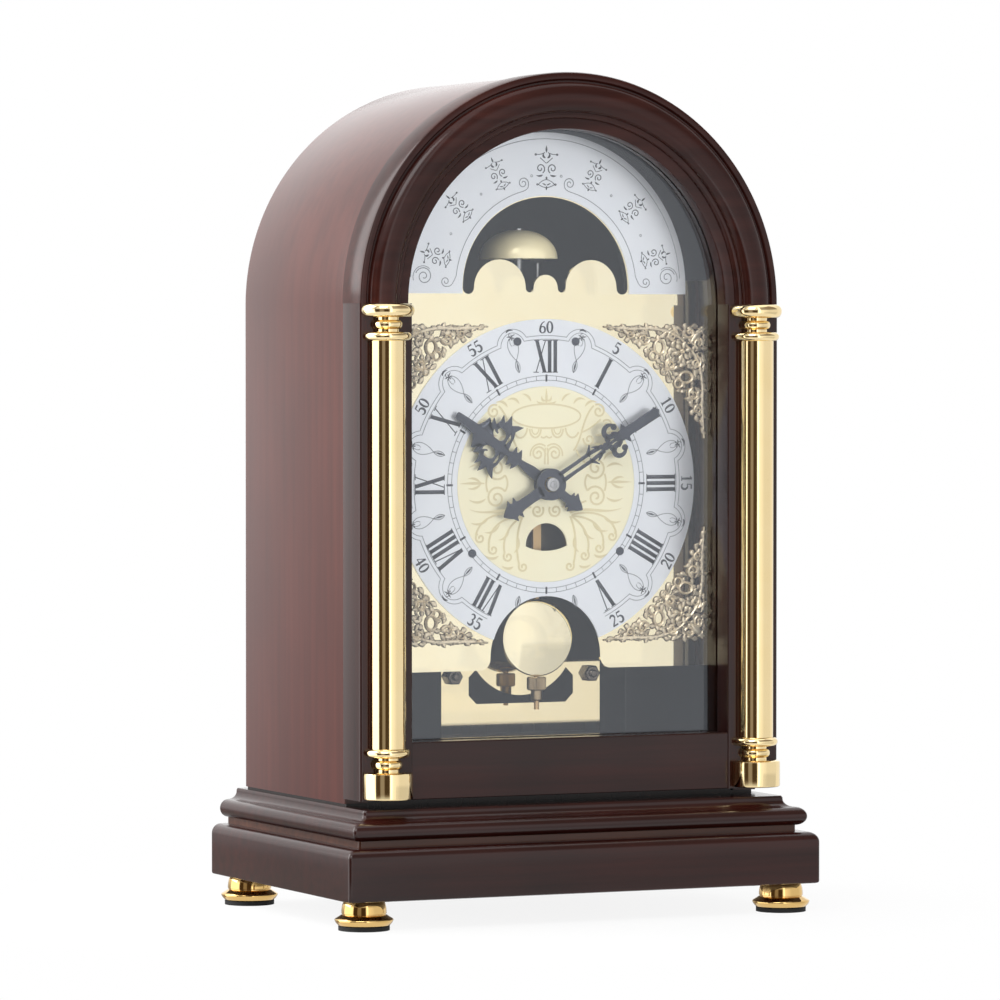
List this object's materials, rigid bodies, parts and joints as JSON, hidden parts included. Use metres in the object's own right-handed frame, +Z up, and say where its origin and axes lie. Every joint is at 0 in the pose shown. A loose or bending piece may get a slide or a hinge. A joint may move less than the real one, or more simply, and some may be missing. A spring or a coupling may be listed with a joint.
{
  "type": "table clock",
  "caption": "Arched wooden table clock with glazed front door, brass columns, arch dial, pendulum, bell and rear-wound spring movement on a moulded base with turned feet.",
  "frame": {"origin": "centre of the base's footprint on the surface it stands on", "axes": "+Z up, -Y out of the dial towards the viewer, +X to the viewer's right"},
  "size_m": [0.2396, 0.1644, 0.39],
  "materials": {
    "wood": "dark stained, satin polish",
    "wood_dark": "dark stained, matt",
    "brass": "polished and lacquered",
    "wheel_brass": "brushed",
    "dial_brass": "mirror polish, pale gilt",
    "silvered": "silvered, satin",
    "steel": "bright steel",
    "cast_gilt": "cast and burnished",
    "black_steel": "black oxide",
    "bell_metal": "turned",
    "glass": "clear float glass",
    "rubber": "soft black"
  },
  "bodies": {
    "case": {"base_slab": "wood", "base_moulding": "wood", "case_shell": "wood", "case_floor": "wood_dark", "dial_surround": "wood_dark", "seat_board": "wood_dark", "feet": "brass", "back_hinge_fixed": "brass", "door_hinge_fixed": "brass", "apron_plate": "brass", "dial_pillars": "wheel_brass", "front_plate": "wheel_brass", "back_plate": "wheel_brass", "plate_pillars": "wheel_brass", "anchor_cock": "wheel_brass", "dial_plate": "dial_brass", "centre_disc": "dial_brass", "chapter_ring": "silvered", "moon_arch": "silvered", "case_screws": "steel", "door_catch": "steel", "bell_post": "steel", "apron_nuts": "steel", "spandrels": "cast_gilt", "dial_screws": "black_steel", "bell": "bell_metal", "foot_pads": "rubber"},
    "front_door": {"door_arch": "wood", "door_stile_left": "wood", "door_stile_right": "wood", "door_rail": "wood", "door_glass": "glass", "glass_bead": "wood_dark", "column_left": "brass", "column_right": "brass", "door_hinge_moving": "brass"},
    "back_door": {"back_door": "wood", "back_hinge_moving": "brass"},
    "back_latch": {"back_latch": "brass"},
    "minute": {"centre_wheel": "wheel_brass", "cannon_pinion": "wheel_brass", "minute_hand": "black_steel", "hand_nut": "steel", "setting_knob": "wheel_brass"},
    "hour": {"hour_wheel": "wheel_brass", "hour_hand": "black_steel"},
    "motion": {"minute_wheel": "wheel_brass"},
    "barrel": {"great_wheel": "wheel_brass", "mainspring": "steel"},
    "third": {"third_wheel": "wheel_brass"},
    "escape": {"escape_wheel": "wheel_brass"},
    "winding": {"barrel_arbor": "steel", "ratchet_wheel": "steel", "winding_key": "wheel_brass"},
    "click": {"click": "steel"},
    "pendulum": {"anchor": "steel", "pendulum_rod": "steel", "pendulum_bob": "dial_brass"},
    "rating_nut": {"rating_nut": "wheel_brass"},
    "hammer": {"hammer": "steel"}
  },
  "joints": [
    {"name": "front_door_swing", "type": "hinge", "parent": "case", "child": "front_door", "pos_m": [0.1092, -0.044, 0.17], "axis": [0, 0, 1], "range_deg": [0, 110]},
    {"name": "back_door_swing", "type": "hinge", "parent": "case", "child": "back_door", "pos_m": [-0.093, 0.0777, 0.17], "axis": [0, 0, 1], "range_deg": [0, 100]},
    {"name": "back_latch_turn", "type": "hinge", "parent": "back_door", "child": "back_latch", "pos_m": [0.0805, 0.078, 0.175], "axis": [0, 1, 0], "range_deg": [0, 90]},
    {"name": "minute_turn", "type": "hinge", "parent": "case", "child": "minute", "pos_m": [0, -0.04, 0.2], "axis": [0, 1, 0], "continuous": true},
    {"name": "hour_turn", "type": "hinge", "parent": "case", "child": "hour", "pos_m": [0, -0.034, 0.2], "axis": [0, 1, 0], "continuous": true},
    {"name": "motion_turn", "type": "hinge", "parent": "case", "child": "motion", "pos_m": [0.01812, -0.028, 0.2], "axis": [0, 1, 0], "continuous": true},
    {"name": "barrel_turn", "type": "hinge", "parent": "case", "child": "barrel", "pos_m": [0.02087, 0.003, 0.22087], "axis": [0, 1, 0], "continuous": true},
    {"name": "third_turn", "type": "hinge", "parent": "case", "child": "third", "pos_m": [-0.02104, -0.003, 0.1946], "axis": [0, 1, 0], "continuous": true},
    {"name": "escape_turn", "type": "hinge", "parent": "case", "child": "escape", "pos_m": [-0.0135, -0.003, 0.17812], "axis": [0, 1, 0], "continuous": true},
    {"name": "winding_turn", "type": "hinge", "parent": "case", "child": "winding", "pos_m": [0.02087, 0.003, 0.22087], "axis": [0, 1, 0], "continuous": true},
    {"name": "click_lift", "type": "hinge", "parent": "case", "child": "click", "pos_m": [0.01487, 0.017, 0.23887], "axis": [0, 1, 0], "range_deg": [-15, 0], "stiffness_Nm_per_rad": 0.02},
    {"name": "pendulum_swing", "type": "hinge", "parent": "case", "child": "pendulum", "pos_m": [0, -0.024, 0.186], "axis": [0, 1, 0], "range_deg": [-5, 5]},
    {"name": "rating_nut_turn", "type": "hinge", "parent": "pendulum", "child": "rating_nut", "pos_m": [0, -0.024, 0.105], "axis": [0, 0, 1], "continuous": true},
    {"name": "hammer_strike", "type": "hinge", "parent": "case", "child": "hammer", "pos_m": [0.009, -0.006, 0.256], "axis": [0, 1, 0], "range_deg": [-4, 3.6], "stiffness_Nm_per_rad": 0.05}
  ],
  "couplings": [
    {"joint": "hour_turn", "follows": "minute_turn", "ratio": 0.083333},
    {"joint": "motion_turn", "follows": "minute_turn", "ratio": -0.33333},
    {"joint": "barrel_turn", "follows": "minute_turn", "ratio": -0.16667},
    {"joint": "third_turn", "follows": "minute_turn", "ratio": -5},
    {"joint": "escape_turn", "follows": "minute_turn", "ratio": 20}
  ]
}
